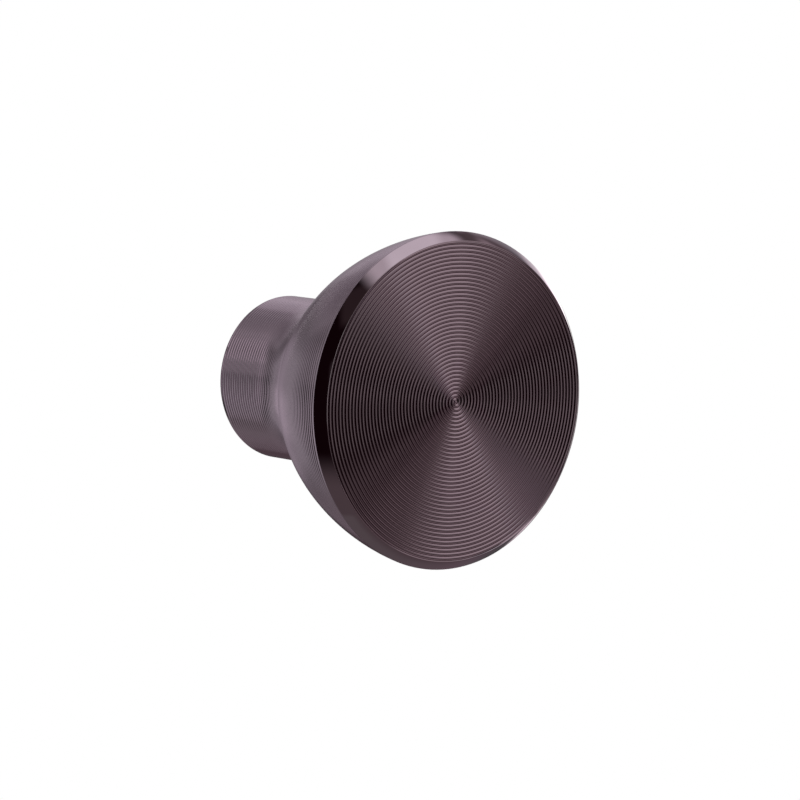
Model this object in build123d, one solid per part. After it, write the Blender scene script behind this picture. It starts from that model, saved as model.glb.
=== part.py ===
from build123d import *
from math import acos, cos, degrees, radians, sin, tan
import os

# Cabinet knob, turned from one piece of aluminium bar and tapped for its fixing screw.
# Sizes in millimetres and degrees. The knob's axis is Y. The origin is the centre of the flat
# back face, which stands against the door, and the knob reaches from there towards -Y.

# Head: a flat round face with a bevel down to the rim, the widest part
head_diameter = 34.0
bevel_width = 0.89
bevel_depth = 1.07
# Body: a long convex shoulder leaves the rim at a slope to the axis, and a concave neck
# draws it in to the stem
rim_slope = 7.8
shoulder_radius = 28.0
neck_radius = 12.0
# Stem: plain and round, as long as it stays straight, with its back edge broken
stem_diameter = 17.0
stem_length = 6.28
back_chamfer = 0.2
# Fixing screw: metric thread, cut in a blind hole drilled to the tapping size
thread_diameter = 4.0
thread_pitch = 0.7
hole_depth = 14.0
drill_point_angle = 118.0

head_radius = head_diameter / 2
stem_radius = stem_diameter / 2
mouth_radius = thread_diameter / 2
hole_radius = (thread_diameter - thread_pitch) / 2
mouth_depth = mouth_radius - hole_radius


def screw_hole():
    """Section of the hole from the knob's axis out to the back face: point, wall, countersink."""
    point_depth = hole_radius / tan(radians(drill_point_angle / 2))
    return Polyline(
        (0, -hole_depth - point_depth),
        (hole_radius, -hole_depth),
        (hole_radius, -mouth_depth),
        (mouth_radius, 0),
    )


def stem(start):
    """Section of the back face and the stem, from the hole's mouth to where the neck begins."""
    return Polyline(
        start,
        (stem_radius - back_chamfer, 0),
        (stem_radius, -back_chamfer),
        (stem_radius, -stem_length),
    )


def flared_body(start):
    """Section of the neck and the shoulder: tangent arcs from the stem's end to the rim."""
    rim_angle = radians(rim_slope)
    centre_distance = neck_radius + shoulder_radius
    across = stem_radius + neck_radius - head_radius + shoulder_radius * cos(rim_angle)
    steepest = acos(across / centre_distance)
    neck = JernArc(start, (0, -1), neck_radius, degrees(steepest))
    shoulder = JernArc(neck @ 1, neck % 1, shoulder_radius, degrees(rim_angle - steepest))
    return neck, shoulder


def head(rim):
    """Section of the bevel and the flat face, from the rim in to the knob's axis."""
    face_y = rim.Y - bevel_depth
    return Polyline(rim, (head_radius - bevel_width, face_y), (0, face_y))


def knob():
    """The whole knob: half of its section, turned about the Y axis."""
    hole = screw_hole()
    back = stem(hole @ 1)
    neck, shoulder = flared_body(back @ 1)
    front = head(shoulder @ 1)
    core = Line(front @ 1, hole @ 0)
    return revolve(make_face([hole, back, neck, shoulder, front, core]), Axis.Y)


os.makedirs("parts", exist_ok=True)
export_step(knob(), "parts/knob.step")
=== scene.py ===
import math
from itertools import accumulate

import bpy
import numpy as np
from mathutils import Euler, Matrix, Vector


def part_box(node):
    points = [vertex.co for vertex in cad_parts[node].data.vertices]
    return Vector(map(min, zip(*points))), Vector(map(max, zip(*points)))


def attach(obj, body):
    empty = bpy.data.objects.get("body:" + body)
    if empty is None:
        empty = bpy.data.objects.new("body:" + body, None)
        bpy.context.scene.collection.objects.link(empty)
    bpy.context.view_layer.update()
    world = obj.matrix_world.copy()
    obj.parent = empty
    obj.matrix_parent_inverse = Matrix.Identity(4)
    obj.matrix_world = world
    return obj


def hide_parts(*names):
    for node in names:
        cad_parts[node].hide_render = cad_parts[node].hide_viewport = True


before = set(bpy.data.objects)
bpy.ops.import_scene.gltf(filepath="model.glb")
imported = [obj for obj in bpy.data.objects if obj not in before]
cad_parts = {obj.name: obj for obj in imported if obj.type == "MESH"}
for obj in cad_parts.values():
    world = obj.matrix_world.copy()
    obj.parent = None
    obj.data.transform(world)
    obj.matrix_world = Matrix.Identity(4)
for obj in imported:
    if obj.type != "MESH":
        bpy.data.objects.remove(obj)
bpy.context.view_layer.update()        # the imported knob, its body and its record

knob_low, knob_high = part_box("knob")

bl_info = {
    "name": "Turned cabinet knob",
    "version": (1, 0, 0),
    "blender": (4, 5, 0),
    "location": "3D View > Sidebar > Knob",
    "description": "Builds a turned, anodised cabinet knob with its spiral-cut face, and a white studio round it",
    "category": "Object",
}

MM = 0.001
TURN = 2 * math.pi
# The knob's axis is Y: its back face stands at y = 0 and its round face looks along -Y.
HEAD_DIAMETER = min(knob_high.x - knob_low.x, knob_high.z - knob_low.z)


# ---------------------------------------------------------------- what a user may change


class KnobSizes(bpy.types.PropertyGroup):
    """The turned shape"""

    head_diameter: bpy.props.FloatProperty(
        name="Head diameter", description="Width of the head over its rim", default=HEAD_DIAMETER, unit="LENGTH")
    bevel_width: bpy.props.FloatProperty(
        name="Bevel width", description="How far the bevel comes in from the rim", default=0.89 * MM, unit="LENGTH")
    bevel_depth: bpy.props.FloatProperty(
        name="Bevel depth", description="How far the bevel runs along the knob's axis",
        default=1.07 * MM, unit="LENGTH")
    rim_slope: bpy.props.FloatProperty(
        name="Rim slope", description="Angle of the shoulder to the axis where it meets the bevel",
        default=math.radians(7.8), subtype="ANGLE")
    shoulder_radius: bpy.props.FloatProperty(
        name="Shoulder radius", description="Radius of the convex shoulder", default=28 * MM, unit="LENGTH")
    neck_radius: bpy.props.FloatProperty(
        name="Neck radius", description="Radius of the concave neck", default=12 * MM, unit="LENGTH")
    stem_diameter: bpy.props.FloatProperty(
        name="Stem diameter", description="Width of the straight stem", default=17 * MM, unit="LENGTH")
    stem_length: bpy.props.FloatProperty(
        name="Stem length", description="Length over which the stem stays straight", default=6.28 * MM, unit="LENGTH")
    back_chamfer: bpy.props.FloatProperty(
        name="Back chamfer", description="Broken edge round the back face", default=0.2 * MM, unit="LENGTH")
    edge_break: bpy.props.FloatProperty(
        name="Edge break", description="Set-back of the small rounding on the rim and the face's edge",
        default=0.05 * MM, unit="LENGTH")
    segments: bpy.props.IntProperty(
        name="Segments", description="Steps round the axis", default=144, min=48)


class TurningMarks(bpy.types.PropertyGroup):
    """What the lathe tool leaves on the metal"""

    feed: bpy.props.FloatProperty(
        name="Feed", description="How far the tool moves in one turn", default=0.4033 * MM, unit="LENGTH")
    face_tilt: bpy.props.FloatProperty(
        name="Face groove tilt", description="Slope of the groove's sides at its crests, on the round face",
        default=math.radians(28), subtype="ANGLE")
    face_phase: bpy.props.FloatProperty(
        name="Face groove phase", description="Where the spiral starts, as a share of a turn",
        default=0.27, min=0, max=1, subtype="FACTOR")
    body_tilt: bpy.props.FloatProperty(
        name="Body mark tilt", description="Slope of the marks' sides at their crests, on the body",
        default=math.radians(23), subtype="ANGLE")
    body_phase: bpy.props.FloatProperty(
        name="Body mark phase", description="Where the body's marks start, as a share of a turn",
        default=0.8, min=0, max=1, subtype="FACTOR")
    back_tilt: bpy.props.FloatProperty(
        name="Back mark tilt", description="Slope of the marks' sides at their crests, on the back face",
        default=math.radians(15), subtype="ANGLE")
    face_rows: bpy.props.IntProperty(
        name="Face rows", description="Rows of faces across one groove of the round face", default=5, min=3)
    body_rows: bpy.props.IntProperty(
        name="Body rows", description="Rows of faces across one mark of the body", default=3, min=3)


class ScrewHole(bpy.types.PropertyGroup):
    """The threaded hole in the back"""

    thread_diameter: bpy.props.FloatProperty(
        name="Thread diameter", description="Outer diameter of the metric thread", default=4 * MM, unit="LENGTH")
    thread_pitch: bpy.props.FloatProperty(
        name="Thread pitch", description="Advance of the thread in one turn", default=0.7 * MM, unit="LENGTH")
    thread_length: bpy.props.FloatProperty(
        name="Thread length", description="How deep the thread is cut", default=12.6 * MM, unit="LENGTH")
    hole_depth: bpy.props.FloatProperty(
        name="Hole depth", description="Depth of the drilled wall, without the drill's point",
        default=14 * MM, unit="LENGTH")
    drill_angle: bpy.props.FloatProperty(
        name="Drill point angle", description="Angle of the drill's point",
        default=math.radians(118), subtype="ANGLE")


class KnobFinish(bpy.types.PropertyGroup):
    """The anodised finish"""

    colour: bpy.props.StringProperty(
        name="Colour", description="Colour of the dyed oxide layer over the metal, as sRGB hex", default="#665A62")
    edge_colour: bpy.props.StringProperty(
        name="Edge colour", description="Tint of what is seen at a grazing angle, as sRGB hex", default="#E0D0DC")
    face_roughness: bpy.props.FloatProperty(
        name="Face roughness", description="Roughness inside the grooves of the round face",
        default=0.09, min=0, max=1, subtype="FACTOR")
    bevel_roughness: bpy.props.FloatProperty(
        name="Bevel roughness", description="Roughness of the mirror-cut bevel",
        default=0.05, min=0, max=1, subtype="FACTOR")
    body_roughness: bpy.props.FloatProperty(
        name="Body roughness", description="Roughness of the satin body",
        default=0.11, min=0, max=1, subtype="FACTOR")
    hole_roughness: bpy.props.FloatProperty(
        name="Hole roughness", description="Roughness of the drilled and tapped hole",
        default=0.32, min=0, max=1, subtype="FACTOR")
    streak_width: bpy.props.FloatProperty(
        name="Streak width", description="Width of the finest streaks that the tool leaves round the axis",
        default=0.05 * MM, unit="LENGTH")
    streak_depth: bpy.props.FloatProperty(
        name="Streak depth", description="Depth of the finest streaks", default=0.0003 * MM, unit="LENGTH")
    dye_variation: bpy.props.FloatProperty(
        name="Dye variation", description="How much lighter or darker the dye runs from place to place",
        default=0.05, min=0, max=1, subtype="FACTOR")
    cloud_size: bpy.props.FloatProperty(
        name="Cloud size", description="Size of the patches over which the dye slowly changes",
        default=7 * MM, unit="LENGTH")


class StudioLight(bpy.types.PropertyGroup):
    """The white studio round the knob"""

    distance: bpy.props.FloatProperty(
        name="Light distance", description="How far the softboxes stand from the knob", default=1.2, unit="LENGTH")
    brightness: bpy.props.FloatProperty(
        name="Brightness", description="Scales every softbox and the room's own light", default=1.0, min=0)
    fade: bpy.props.FloatProperty(
        name="Fade", description="Width over which a softbox fades out at its edges, as a share of its distance",
        default=0.13, min=0.001)
    overhead_fade: bpy.props.FloatProperty(
        name="Overhead fade", description="The same for the softbox overhead, as a share of its height",
        default=0.24, min=0.001)
    floor_colour: bpy.props.StringProperty(
        name="Floor colour", description="Colour of the floor and the room as seen, as sRGB hex", default="#FFFFFF")
    floor_depth: bpy.props.FloatProperty(
        name="Floor depth", description="How far the floor lies below the knob's axis", default=0.75, unit="LENGTH")
    floor_radius: bpy.props.FloatProperty(
        name="Floor radius", description="How far the floor reaches all round", default=3.0, unit="LENGTH")


# The studio's softboxes, all facing the knob: azimuth and elevation in degrees (azimuth 0 is in front of the round
# face, 90 on the +X side), width and height as shares of their distance, brightness, and colour.
SOFTBOXES = {
    "back_spot": (-170.4, -10.5, 0.200, 0.229, 0.91, "#F5FFF9"),
    "back_tall": (-169.9, -12.4, 0.759, 1.954, 0.53, "#F2FFF7"),
    "back_low": (-167.1, -7.5, 0.609, 0.762, 0.80, "#F0FFF7"),
    "back_left_high": (-130.3, 35.1, 0.648, 1.141, 0.40, "#FFFCFC"),
    "left_high_pole": (-127.5, 47.0, 0.190, 1.100, 1.20, "#FFF6FB"),
    "left_pole": (-125.7, 0.3, 0.221, 1.867, 1.03, "#FFF4FE"),
    "front_small": (-29.6, 11.5, 0.473, 0.841, 1.68, "#F2FFF0"),
    "front_left_high": (-28.3, 53.0, 0.730, 0.399, 0.11, "#FFEAE3"),
    "front_wide": (-21.3, 9.8, 1.306, 0.459, 0.21, "#FFF9F5"),
    "front_low_wide": (-18.6, -14.2, 1.245, 0.573, 0.37, "#FFF5EF"),
    "front_pole": (3.9, 25.2, 0.200, 1.792, 0.43, "#F7FFF2"),
    "front_high": (4.9, 35.4, 0.463, 0.543, 0.94, "#FFF4E9"),
    "front_right_high": (33.4, 34.1, 0.490, 1.305, 1.08, "#F4FFFB"),
    "front_right": (34.9, 23.0, 0.407, 0.860, 0.76, "#FFE3DD"),
    "right_low_small": (41.3, -21.3, 0.613, 0.200, 0.53, "#FFEFF0"),
    "right_low": (42.0, -24.5, 0.899, 0.320, 0.51, "#FFECE9"),
    "right_level_strip": (48.0, 8.7, 2.200, 0.239, 0.39, "#FFEBEA"),
    "right_high": (72.5, 30.4, 0.859, 0.414, 0.91, "#FFFCF6"),
    "right_high_wide": (77.3, 32.9, 1.053, 0.616, 0.38, "#FFF5EE"),
    "overhead_right": (81.7, 73.5, 2.200, 0.508, 1.04, "#F3FFFA"),
    "right_low_strip": (89.2, -26.2, 0.812, 0.200, 0.60, "#F8F0FF"),
    "right_edge_light": (105.3, -7.6, 0.872, 0.542, 1.50, "#FFF9F7"),
    "below": (117.7, -67.6, 0.279, 2.200, 0.15, "#E7FFF1"),
    "back_right_strip": (124.2, 6.6, 1.935, 0.344, 0.95, "#F4FFF2"),
    "back_right_high": (139.4, 22.7, 1.060, 0.889, 1.14, "#EAFFF1"),
    "back_high": (166.0, 49.0, 1.673, 0.717, 0.74, "#FEFEFF"),
}
# One more lies flat overhead: where it reaches in x and in y as shares of its height, brightness, and colour.
OVERHEAD_BOX = (-0.25, 0.851, -0.525, 0.096, 2.51, "#FEFFFC")

# What the knob sees of the room between the softboxes, as brightness and colour: a wall far behind it, the ground
# below, and the dim rest on every side.
ROOM_WALL, ROOM_GROUND, ROOM_REST = (0.123, "#E4FFED"), (0.397, "#FFF3EF"), (0.028, "#FF8DB1")
# The wall and the ground begin and end softly: looking out along a way of length 1, the first number of each pair
# is the way's y (for WALL_FRONT) or z at which they are dark, and the second the one at which they are full.
WALL_FRONT, WALL_FOOT, WALL_TOP = (-0.1, 0.3), (-0.75, -0.55), (0.8, 0.6)
GROUND_TOP = (-0.45, -0.75)

# The camera looks at the round face from the left and a little above
CAMERA_PLACE = (-278.422 * MM, -374.436 * MM, 52.537 * MM)
CAMERA_AZIMUTH, CAMERA_ELEVATION = math.radians(-38.11), math.radians(6.724)
CAMERA_LENS, CAMERA_SENSOR = 201.8, 36.0
CAMERA_CLIP = (0.02, 20.0)

# A metric thread: the angle between its flanks, and its flat crest as a share of the pitch
THREAD_ANGLE, THREAD_CREST = math.radians(60), 0.25

# ---- how the mesh is made
AXIS_GAP = 0.01 * MM             # the drawn section keeps this far from the axis, so that it can be spun
MERGE_DISTANCE = 0.0003 * MM     # closes the seam and the two poles after the spin
SMOOTH_ANGLE = math.radians(18)  # edges sharper than this stay sharp: chamfer, bevel, thread
SEAM = 1e-4                      # angles closer to a full turn than this are the spin's first step
TINY = 1e-8                      # slack when distances along the section are compared

# ---- how the finish varies
NOISE_SPAN = (0.3, 0.7)          # nearly all of a noise's values lie between these
DYE_STREAKS = 0.5                # how much the streaks count in the dye, next to the slow clouds
ROUGHNESS_SWING = 0.2            # how far the streaks change the roughness, as a share of it


# ---------------------------------------------------------------- the section and its runs


class Run:
    """A stretch of the knob's section, as (radius, y). Metal lies on its right, air on its left.

    parts are straight lines (start, end) or arcs (centre, radius, first angle, last angle).
    lead is how far a mark moves along in one turn, and so its width; a run without marks has none.
    phases are the shares of that width at which a mark has its rows of vertices, and depths its depth at each.
    phase is where the first mark starts, as a share of a turn.
    fade is the length over which the marks deepen from nothing, at the run's start and at its end.
    """

    def __init__(self, name, parts, lead=0.0, phases=(), depths=(), phase=0.0, fade=(0.0, 0.0)):
        self.name, self.parts, self.lead = name, parts, lead
        self.phases, self.depths, self.phase, self.fade = phases, depths, phase, fade
        self.lengths = [self.part_length(p) for p in parts]
        self.length = sum(self.lengths)

    @staticmethod
    def part_length(part):
        if len(part) == 2:
            return math.dist(*part)
        return part[1] * abs(part[3] - part[2])

    def place(self, along):
        """Point and outward normal at each distance along the run."""
        along = np.clip(np.asarray(along, float), 0, self.length)
        point, normal = np.zeros(along.shape + (2,)), np.zeros(along.shape + (2,))
        start = 0.0
        for part, length in zip(self.parts, self.lengths):
            here = (along >= start - TINY * MM) & (along <= start + length + TINY * MM)
            t = ((along[here] - start) / length)[:, None]
            if len(part) == 2:
                a, b = np.array(part[0]), np.array(part[1])
                point[here] = a + (b - a) * t
                way = (b - a) / length
                normal[here] = (-way[1], way[0])
            else:
                centre, radius, first, last = part
                angle = first + (last - first) * t[:, 0]
                spoke = np.stack([np.cos(angle), np.sin(angle)], -1)
                point[here] = np.array(centre) + radius * spoke
                normal[here] = spoke if last < first else -spoke
            start += length
        return point, normal

    def rows(self):
        """Distances at which the section has a vertex: every joint of a plain run, or each mark's own rows."""
        if not self.lead:
            return [0.0, *accumulate(self.lengths)]
        turns = range(-1, math.ceil(self.length / self.lead) + 2)
        marks = [(t + self.phase + p) * self.lead for t in turns for p in self.phases]
        return [0.0] + [m for m in marks if 0 < m < self.length + self.lead] + [self.length]

    def wound(self, along, angle):
        """Points of the rows turned by angle, with each mark moved along by its share of the lead."""
        # The run's two ends stay where they are, so that it meets its neighbours
        ends = (along < TINY) | (abs(along - self.length) < TINY)
        moved = along - np.where(ends, 0, self.lead * angle / TURN)
        moved = np.clip(moved, 0, self.length)
        point, normal = self.place(moved)
        if self.lead:
            share = ((moved + self.lead * angle / TURN) / self.lead - self.phase) % 1
            depth = np.interp(share, list(self.phases) + [1], list(self.depths) + [self.depths[0]])
            for size, gap in zip(self.fade, (moved, self.length - moved)):
                if size:
                    depth = depth * np.clip(gap / size, 0, 1)
            point = point - normal * depth[:, None]
        return point


def scallop(width, tilt, rows):
    """One mark of a round-nosed tool: shares of its width, and the depth at each."""
    shares = [i / rows for i in range(rows)]
    # A parabola that leaves each crest at the tilt is this deep in its middle
    depth = width * math.tan(tilt) / 4
    return shares, [depth * (1 - (2 * s - 1) ** 2) for s in shares]


def softened(start, corner, end, steps=4):
    """Points of a small rounding from start to end, instead of their corner."""
    a, b, c = map(np.array, (start, corner, end))
    return [tuple((1 - t) ** 2 * a + 2 * t * (1 - t) * b + t * t * c) for t in np.linspace(0, 1, steps + 1)]


def lines(points):
    """The straight parts that join the points."""
    return list(zip(points[:-1], points[1:]))


def thread_marks(hole):
    """One turn of the metric thread: flat crest, 60 degree groove and flat root, as shares and depths."""
    cut = hole.thread_pitch / 2
    flank = cut * math.tan(THREAD_ANGLE / 2) / hole.thread_pitch
    return [0, THREAD_CREST, THREAD_CREST + flank, 1 - flank], [0, 0, cut, cut]


def body_parts(sizes):
    """The straight stem, and tangent arcs from it to the rim: the concave neck and the convex shoulder."""
    stem, neck, shoulder = sizes.stem_diameter / 2, sizes.neck_radius, sizes.shoulder_radius
    reach = neck + shoulder
    across = stem + neck - sizes.head_diameter / 2 + shoulder * math.cos(sizes.rim_slope)
    steepest = math.acos(across / reach)
    neck_centre = (stem + neck, -sizes.stem_length)
    shoulder_centre = (neck_centre[0] - reach * math.cos(steepest), neck_centre[1] - reach * math.sin(steepest))
    return [
        ((stem, -sizes.back_chamfer), (stem, -sizes.stem_length)),
        (neck_centre, neck, math.pi, math.pi + steepest),
        (shoulder_centre, shoulder, steepest, sizes.rim_slope),
    ]


def end_of(parts):
    """The point at which a chain of parts ends."""
    run = Run("", parts)
    return run.place([run.length])[0][0]


def section(sizes, marks, hole):
    """The knob's section as runs, from the drill's point out to the back, and round to the face's centre."""
    bore = (hole.thread_diameter - hole.thread_pitch) / 2
    mouth = hole.thread_diameter / 2
    point_depth = bore / math.tan(hole.drill_angle / 2)
    wall_top = bore - mouth
    pitch, feed = hole.thread_pitch, marks.feed
    stem, chamfer = sizes.stem_diameter / 2, sizes.back_chamfer

    # The rim and the face's edge are broken: the runs stop short of the two corners
    body = body_parts(sizes)
    rim_corner = end_of(body)
    centre, radius, first, last = body[-1]
    body[-1] = (centre, radius, first, last + sizes.edge_break / radius)
    face_y = rim_corner[1] - sizes.bevel_depth
    face_corner = np.array([rim_corner[0] - sizes.bevel_width, face_y])
    way = (face_corner - rim_corner) / np.linalg.norm(face_corner - rim_corner)
    bevel_start, bevel_end = rim_corner + way * sizes.edge_break, face_corner - way * sizes.edge_break
    face_start = face_corner - np.array([sizes.edge_break, 0])

    # The marks run out over a short way at both ends of a run, and the face's spiral over a longer way at its centre
    run_out, face_run_out = (feed / 4, feed / 4), (feed / 6, feed / 2)
    # Crests lie where radius / feed - angle / turn is the set phase; the run goes inwards from the rim
    face_phase = (face_start[0] / feed - marks.face_phase) % 1
    return [
        Run("hole", lines([(0, -hole.hole_depth - point_depth), (bore, -hole.hole_depth)])),
        Run("hole", lines([(bore, -hole.hole_depth), (bore, -hole.thread_length)])),
        Run("hole", lines([(bore, -hole.thread_length), (bore, wall_top)]), pitch, *thread_marks(hole),
            fade=(pitch, mouth - bore)),
        Run("hole", lines([(bore, wall_top), (mouth, 0)])),
        Run("back", lines([(mouth, 0), (stem - chamfer, 0)]), feed,
            *scallop(feed, marks.back_tilt, marks.body_rows), fade=run_out),
        Run("back", lines([(stem - chamfer, 0), (stem, -chamfer)])),
        Run("body", body, feed, *scallop(feed, marks.body_tilt, marks.body_rows),
            phase=marks.body_phase, fade=run_out),
        Run("bevel", lines(softened(end_of(body), rim_corner, bevel_start))),
        Run("bevel", lines([tuple(bevel_start), tuple(bevel_end)])),
        Run("bevel", lines(softened(bevel_end, face_corner, face_start))),
        Run("face", lines([tuple(face_start), (0, face_y)]), feed,
            *scallop(feed, marks.face_tilt, marks.face_rows), phase=face_phase, fade=face_run_out),
    ]


# ---------------------------------------------------------------- mesh helpers


def deselect_all():
    """Leaves edit mode, with nothing selected."""
    if bpy.context.mode != "OBJECT":
        bpy.ops.object.mode_set(mode="OBJECT")
    bpy.ops.object.select_all(action="DESELECT")


def draw_line(name, points):
    """A new mesh object whose vertices follow the points (x, y, z), extruded one from the other."""
    deselect_all()
    bpy.ops.mesh.primitive_plane_add(size=1 * MM, location=points[0])
    piece = bpy.context.active_object
    piece.name = piece.data.name = name
    bpy.ops.object.transform_apply(location=True, rotation=True, scale=True)
    bpy.ops.object.mode_set(mode="EDIT")
    bpy.ops.mesh.select_all(action="SELECT")
    bpy.ops.mesh.merge(type="CENTER")
    bpy.ops.object.mode_set(mode="OBJECT")  # so that the vertices that follow are numbered in order
    bpy.ops.object.mode_set(mode="EDIT")
    for a, b in zip(points[:-1], points[1:]):
        bpy.ops.mesh.extrude_region_move(TRANSFORM_OT_translate={"value": tuple(np.subtract(b, a))})
    bpy.ops.object.mode_set(mode="OBJECT")
    return piece


# ---------------------------------------------------------------- materials


def linear(hex_colour):
    """An sRGB hex colour as the linear RGBA that the shaders take."""
    channels = [int(hex_colour[i:i + 2], 16) / 255 for i in (1, 3, 5)]
    return tuple(c / 12.92 if c <= 0.04045 else ((c + 0.055) / 1.055) ** 2.4 for c in channels) + (1.0,)


def add_node(tree, kind, settings=None, inputs=None):
    """Adds a node; settings are its attributes, inputs its socket values or the sockets linked to them."""
    made = tree.nodes.new(kind)
    for key, value in (settings or {}).items():
        setattr(made, key, value)
    for key, value in (inputs or {}).items():
        if isinstance(value, bpy.types.NodeSocket):
            tree.links.new(value, made.inputs[key])
        else:
            made.inputs[key].default_value = value
    return made


def anodised(name, finish, roughness, streaks=1.0):
    """Anodised aluminium: a metal whose reflections are dimmed and tinted by its dyed oxide layer.

    Every surface of the knob is turned or drilled, so each is covered in fine streaks that run round the axis.
    They are drawn 0.05 mm wide, about three times coarser than a real tool's, so that they hold up in a render.
    They vary the roughness and the surface's slope, and the dye is a little lighter along some than others.
    A slow variation over some millimetres stands for the uneven take-up of the dye.
    streaks is how strong they are, against a plainly turned surface.
    """
    low, high = NOISE_SPAN
    swing = ROUGHNESS_SWING * streaks
    material = bpy.data.materials.new(name)
    material.use_nodes = True
    tree = material.node_tree
    tree.nodes.clear()
    place = add_node(tree, "ShaderNodeTexCoord").outputs["Object"]
    across = add_node(tree, "ShaderNodeVectorMath", {"operation": "MULTIPLY"}, {0: place, 1: (1, 0, 1)})
    along = add_node(tree, "ShaderNodeVectorMath", {"operation": "MULTIPLY"}, {
        0: place, 1: (0, 1 / finish.streak_width, 0)})
    radius = add_node(tree, "ShaderNodeVectorMath", {"operation": "LENGTH"}, {0: across.outputs[0]})
    spoke = add_node(tree, "ShaderNodeVectorMath", {"operation": "NORMALIZE"}, {0: across.outputs[0]})
    # A streak is about a sixth of a turn long and one streak wide, along the axis and across it
    long = add_node(tree, "ShaderNodeVectorMath", {"operation": "MULTIPLY_ADD"}, {
        0: spoke.outputs[0], 1: (1, 1, 1), 2: along.outputs[0]})
    rank = add_node(tree, "ShaderNodeMath", {"operation": "DIVIDE"}, {
        0: radius.outputs["Value"], 1: finish.streak_width})
    streak = add_node(tree, "ShaderNodeTexNoise", {"noise_dimensions": "4D"}, {
        "Vector": long.outputs[0], "W": rank.outputs[0], "Scale": 1.0, "Detail": 2.0, "Roughness": 0.6})
    cloud = add_node(tree, "ShaderNodeTexNoise", {"noise_dimensions": "3D"}, {
        "Vector": place, "Scale": 1 / finish.cloud_size, "Detail": 2.0, "Roughness": 0.5})
    both = add_node(tree, "ShaderNodeMath", {"operation": "MULTIPLY_ADD"}, {
        0: streak.outputs["Fac"], 1: DYE_STREAKS * streaks, 2: cloud.outputs["Fac"]})
    value = add_node(tree, "ShaderNodeMapRange", {"clamp": False}, {
        "Value": both.outputs[0], "From Min": low * (1 + DYE_STREAKS * streaks),
        "From Max": high * (1 + DYE_STREAKS * streaks),
        "To Min": 1 - finish.dye_variation, "To Max": 1 + finish.dye_variation})
    dye = add_node(tree, "ShaderNodeHueSaturation", inputs={
        "Color": linear(finish.colour), "Value": value.outputs[0]})
    rough = add_node(tree, "ShaderNodeMapRange", inputs={
        "Value": streak.outputs["Fac"], "From Min": low, "From Max": high,
        "To Min": roughness * (1 - swing), "To Max": roughness * (1 + swing)})
    relief = add_node(tree, "ShaderNodeBump", inputs={
        "Height": streak.outputs["Fac"], "Strength": streaks, "Distance": finish.streak_depth})
    shader = add_node(tree, "ShaderNodeBsdfPrincipled", inputs={
        "Base Color": dye.outputs["Color"], "Metallic": 1.0, "Roughness": rough.outputs[0],
        "Specular Tint": linear(finish.edge_colour), "Normal": relief.outputs[0]})
    add_node(tree, "ShaderNodeOutputMaterial", inputs={"Surface": shader.outputs["BSDF"]})
    return material


# ---------------------------------------------------------------- operators


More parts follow.
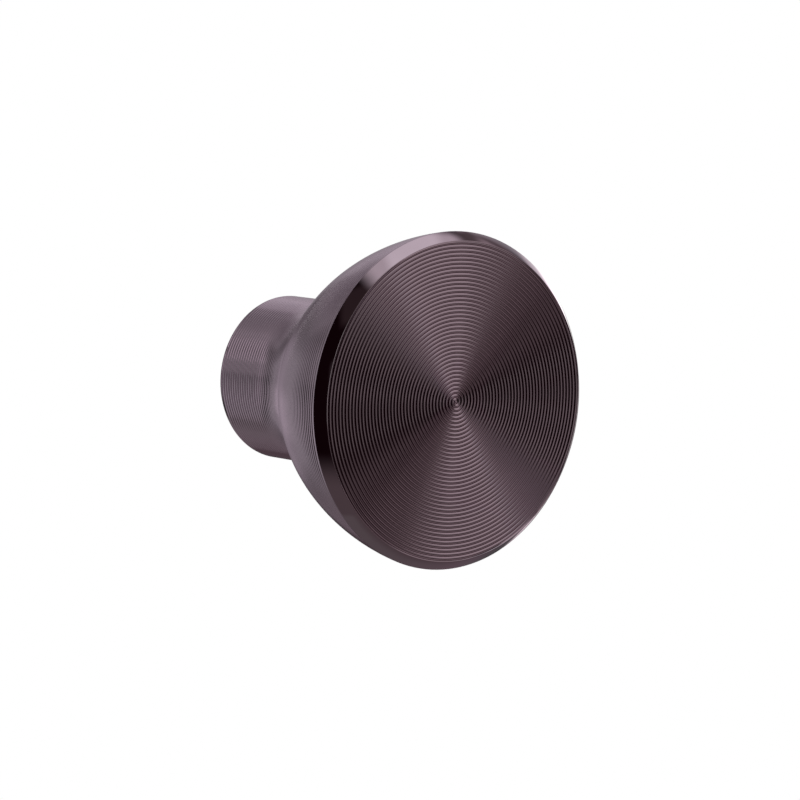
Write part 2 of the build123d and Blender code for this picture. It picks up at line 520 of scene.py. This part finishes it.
class OBJECT_OT_turned_knob(bpy.types.Operator):
    """Turns the whole knob: face spiral, bevel, body marks, back and threaded hole, as one closed mesh"""

    bl_idname = "object.turned_knob"
    bl_label = "Turn the knob"

    def execute(self, context):
        scene = context.scene
        sizes, marks, hole, finish = scene.knob_sizes, scene.knob_marks, scene.knob_hole, scene.knob_finish
        runs = section(sizes, marks, hole)
        # The section's vertices: which run each is on, and how far along
        rows = [(i, along) for i, run in enumerate(runs) for along in run.rows()]
        flat = []
        for i, along in rows:
            radius, y = runs[i].place([along])[0][0]
            flat.append((max(radius, AXIS_GAP), y, 0))
        knob = draw_line("turned_knob", flat)
        mesh = knob.data
        if len(mesh.vertices) != len(rows):
            raise RuntimeError("the section has lost a vertex")
        mesh.attributes.new("run", "INT", "POINT").data.foreach_set("value", [i for i, _ in rows])
        mesh.attributes.new("along", "FLOAT", "POINT").data.foreach_set("value", [a for _, a in rows])
        bpy.ops.object.mode_set(mode="EDIT")
        bpy.ops.mesh.select_all(action="SELECT")
        bpy.ops.mesh.spin(steps=sizes.segments, angle=TURN, use_auto_merge=False, center=(0, 0, 0), axis=(0, 1, 0))
        bpy.ops.object.mode_set(mode="OBJECT")
        self.wind(mesh, runs)
        bpy.ops.object.mode_set(mode="EDIT")
        bpy.ops.mesh.select_all(action="SELECT")
        bpy.ops.mesh.remove_doubles(threshold=MERGE_DISTANCE)
        bpy.ops.mesh.normals_make_consistent(inside=False)
        bpy.ops.object.mode_set(mode="OBJECT")
        self.paint(mesh, runs, finish)
        bpy.ops.object.shade_smooth_by_angle(angle=SMOOTH_ANGLE)
        for name in ("run", "along"):
            mesh.attributes.remove(mesh.attributes[name])
        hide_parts("knob")
        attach(knob, "root")
        return {"FINISHED"}

    @staticmethod
    def wind(mesh, runs):
        """Moves the spun rows so that the marks run on from turn to turn, as a spiral or a helix."""
        count = len(mesh.vertices)
        at = np.zeros(count * 3)
        mesh.vertices.foreach_get("co", at)
        at = at.reshape(-1, 3)
        last = np.zeros(count, bool)
        mesh.vertices.foreach_get("select", last)
        run = np.zeros(count, int)
        along = np.zeros(count)
        mesh.attributes["run"].data.foreach_get("value", run)
        mesh.attributes["along"].data.foreach_get("value", along)
        angle = np.arctan2(at[:, 2], at[:, 0]) % TURN
        angle[angle > TURN - SEAM] = 0
        # The spin leaves its last step selected; it stands on the first one, a full turn on
        angle[last] = TURN
        turned = np.where(last, 0.0, angle)
        for i, one in enumerate(runs):
            mine = run == i
            radius, y = one.wound(along[mine].astype(float), angle[mine]).T
            at[mine] = np.stack([radius * np.cos(turned[mine]), y, radius * np.sin(turned[mine])], -1)
        mesh.vertices.foreach_set("co", at.ravel())
        mesh.update()

    @staticmethod
    def paint(mesh, runs, finish):
        """Gives each stretch of the knob its finish."""
        looks = {
            # The round face is cut by a round-nosed tool that feeds 0.4 mm a turn, from the rim to the centre, before
            # it is anodised. The groove's own sides throw the light into bright and dark wedges, so it is smooth.
            "face": anodised("anodised aluminium, spiral-turned", finish, finish.face_roughness),
            # The bevel is cut last with a diamond, at a fine feed: close to a mirror, with almost no streaks.
            "bevel": anodised("anodised aluminium, mirror-cut", finish, finish.bevel_roughness, streaks=0.4),
            # The body is turned with a sharper tool and left satin, so that its reflections run soft along it.
            "body": anodised("anodised aluminium, satin-turned", finish, finish.body_roughness),
            # The hole is drilled and tapped. The oxide covers it too, over a rougher surface, so it looks dull.
            "hole": anodised("anodised aluminium, drilled and tapped", finish, finish.hole_roughness),
        }
        slots = list(looks)
        for look in slots:
            mesh.materials.append(looks[look])
        run = np.zeros(len(mesh.vertices), int)
        mesh.attributes["run"].data.foreach_get("value", run)
        for face in mesh.polygons:
            names = {runs[run[v]].name for v in face.vertices}
            # A face between two runs takes the first of these that it touches; the back is finished like the body
            look = next((look for look in ("bevel", "face", "hole") if look in names), "body")
            face.material_index = slots.index(look)


class SCENE_OT_knob_studio(bpy.types.Operator):
    """Sets up the white studio: floor, room, soft lights and camera"""

    bl_idname = "scene.knob_studio"
    bl_label = "Set up the studio"

    def execute(self, context):
        deselect_all()
        scene = context.scene
        studio = scene.knob_light
        self.floor(studio)
        self.room(scene, studio)
        for name, (azimuth, elevation, width, height, brightness, colour) in SOFTBOXES.items():
            turned = (math.radians(90 - elevation), 0, math.radians(azimuth))
            self.softbox(studio, name, turned, (0, 0, 1), width, height, studio.fade, brightness, colour)
        left, right, front, back, brightness, colour = OVERHEAD_BOX
        middle = ((left + right) / 2, (front + back) / 2, 1)
        self.softbox(studio, "overhead", (0, 0, 0), middle, right - left, back - front, studio.overhead_fade,
                     brightness, colour)
        self.camera(scene)
        scene.view_settings.view_transform = "Standard"
        return {"FINISHED"}

    @staticmethod
    def softbox(studio, name, turned, place, width, height, fade, brightness, colour):
        """An area light; place is its middle before turning, in shares of the studio's light distance."""
        bpy.ops.object.light_add(type="AREA")
        light = bpy.context.active_object
        light.name = light.data.name = "softbox_" + name
        light.rotation_euler = turned
        light.location = Euler(turned).to_matrix() @ Vector(place) * studio.distance
        light.visible_camera = False
        data = light.data
        data.shape = "RECTANGLE"
        wide, high = width + fade, height + fade
        data.size, data.size_y = wide * studio.distance, high * studio.distance
        data.color = linear(colour)[:3]
        data.energy = brightness * studio.brightness * math.pi * data.size * data.size_y
        # Its cloth is brightest in the middle and fades towards the frame
        data.use_nodes = True
        tree = data.node_tree
        tree.nodes.clear()
        across = add_node(tree, "ShaderNodeNewGeometry").outputs["Parametric"]
        middle = add_node(tree, "ShaderNodeVectorMath", {"operation": "SUBTRACT"}, {0: across, 1: (0.5, 0.5, 0)})
        inside = add_node(tree, "ShaderNodeVectorMath", {"operation": "ABSOLUTE"}, {0: middle.outputs[0]})
        u, v, _ = add_node(tree, "ShaderNodeSeparateXYZ", inputs={0: inside.outputs[0]}).outputs
        edges = [add_node(tree, "ShaderNodeMapRange", {"interpolation_type": "SMOOTHSTEP"}, {
            "Value": value, "From Min": 0.5, "From Max": 0.5 - fade / span}).outputs[0]
            for value, span in ((u, wide), (v, high))]
        glow = add_node(tree, "ShaderNodeMath", {"operation": "MULTIPLY"}, {0: edges[0], 1: edges[1]})
        lit = add_node(tree, "ShaderNodeEmission", inputs={"Strength": glow.outputs[0]})
        add_node(tree, "ShaderNodeOutputLight", inputs={"Surface": lit.outputs[0]})

    @staticmethod
    def floor(studio):
        """Pale paper, evenly lit. What it throws back at the knob comes from the room's world instead."""
        bpy.ops.mesh.primitive_circle_add(
            vertices=64, radius=studio.floor_radius, fill_type="NGON", location=(0, 0, -studio.floor_depth))
        floor = bpy.context.active_object
        floor.name = "studio_floor"
        # White paper, matt and uncoated, pressed smooth. It is lit so evenly that the eye finds neither grain nor
        # edge in it, so it gives off one plain white here.
        material = bpy.data.materials.new("white paper")
        material.use_nodes = True
        tree = material.node_tree
        tree.nodes.clear()
        lit = add_node(tree, "ShaderNodeEmission", inputs={"Color": linear(studio.floor_colour), "Strength": 1.0})
        add_node(tree, "ShaderNodeOutputMaterial", inputs={"Surface": lit.outputs[0]})
        floor.data.materials.append(material)
        floor.visible_diffuse = floor.visible_glossy = floor.visible_shadow = False

    @staticmethod
    def room(scene, studio):
        """Pale to look at. What the knob reflects is dark, with a pale wall far behind it and the floor below."""
        world = bpy.data.worlds.new("white room")
        scene.world = world
        world.use_nodes = True
        tree = world.node_tree
        tree.nodes.clear()
        way = add_node(tree, "ShaderNodeTexCoord").outputs["Generated"]
        _, y, z = add_node(tree, "ShaderNodeSeparateXYZ", inputs={0: way}).outputs

        def ramp(value, span):
            return add_node(tree, "ShaderNodeMapRange", {"interpolation_type": "SMOOTHSTEP"}, {
                "Value": value, "From Min": span[0], "From Max": span[1]}).outputs[0]

        def times(a, b):
            return add_node(tree, "ShaderNodeMath", {"operation": "MULTIPLY"}, {0: a, 1: b}).outputs[0]

        def glow(colour, strength):
            return add_node(tree, "ShaderNodeBackground", inputs={
                "Color": linear(colour), "Strength": strength}).outputs[0]

        def added(a, b):
            return add_node(tree, "ShaderNodeAddShader", inputs={0: a, 1: b}).outputs[0]

        behind = times(times(ramp(y, WALL_FRONT), ramp(z, WALL_FOOT)), ramp(z, WALL_TOP))
        below = ramp(z, GROUND_TOP)
        wall, ground = (glow(colour, times(share, brightness * studio.brightness))
                        for share, (brightness, colour) in ((behind, ROOM_WALL), (below, ROOM_GROUND)))
        rest = glow(ROOM_REST[1], ROOM_REST[0] * studio.brightness)
        path = add_node(tree, "ShaderNodeLightPath")
        both = add_node(tree, "ShaderNodeMixShader", inputs={
            0: path.outputs["Is Camera Ray"], 1: added(added(wall, ground), rest),
            2: glow(studio.floor_colour, 1.0)})
        add_node(tree, "ShaderNodeOutputWorld", inputs={"Surface": both.outputs[0]})

    @staticmethod
    def camera(scene):
        """A long lens from some way off, so that the knob is seen almost without perspective."""
        data = bpy.data.cameras.new("camera")
        camera = bpy.data.objects.new("camera", data)
        scene.collection.objects.link(camera)
        camera.location = CAMERA_PLACE
        camera.rotation_euler = (math.pi / 2 - CAMERA_ELEVATION, 0, CAMERA_AZIMUTH)
        data.lens, data.sensor_width = CAMERA_LENS, CAMERA_SENSOR
        data.clip_start, data.clip_end = CAMERA_CLIP
        scene.camera = camera


class VIEW3D_PT_turned_knob(bpy.types.Panel):
    """Lists the knob's settings and its steps"""

    bl_idname = "VIEW3D_PT_turned_knob"
    bl_label = "Turned knob"
    bl_space_type = "VIEW_3D"
    bl_region_type = "UI"
    bl_category = "Knob"

    def draw(self, context):
        for group in GROUPS:
            box = self.layout.box()
            values = getattr(context.scene, group)
            for name in values.__annotations__:
                box.prop(values, name)
        for step in STEPS:
            self.layout.operator(step.bl_idname)


STEPS = (OBJECT_OT_turned_knob, SCENE_OT_knob_studio)
GROUPS = {"knob_sizes": KnobSizes, "knob_marks": TurningMarks, "knob_hole": ScrewHole, "knob_finish": KnobFinish,
          "knob_light": StudioLight}


def register():
    for cls in (*GROUPS.values(), *STEPS, VIEW3D_PT_turned_knob):
        bpy.utils.register_class(cls)
    for name, cls in GROUPS.items():
        setattr(bpy.types.Scene, name, bpy.props.PointerProperty(type=cls))


def unregister():
    for name in GROUPS:
        delattr(bpy.types.Scene, name)
    for cls in reversed((*GROUPS.values(), *STEPS, VIEW3D_PT_turned_knob)):
        bpy.utils.unregister_class(cls)


def main():
    register()
    bpy.ops.object.turned_knob()
    bpy.ops.scene.knob_studio()


if __name__ == "__main__":
    main()
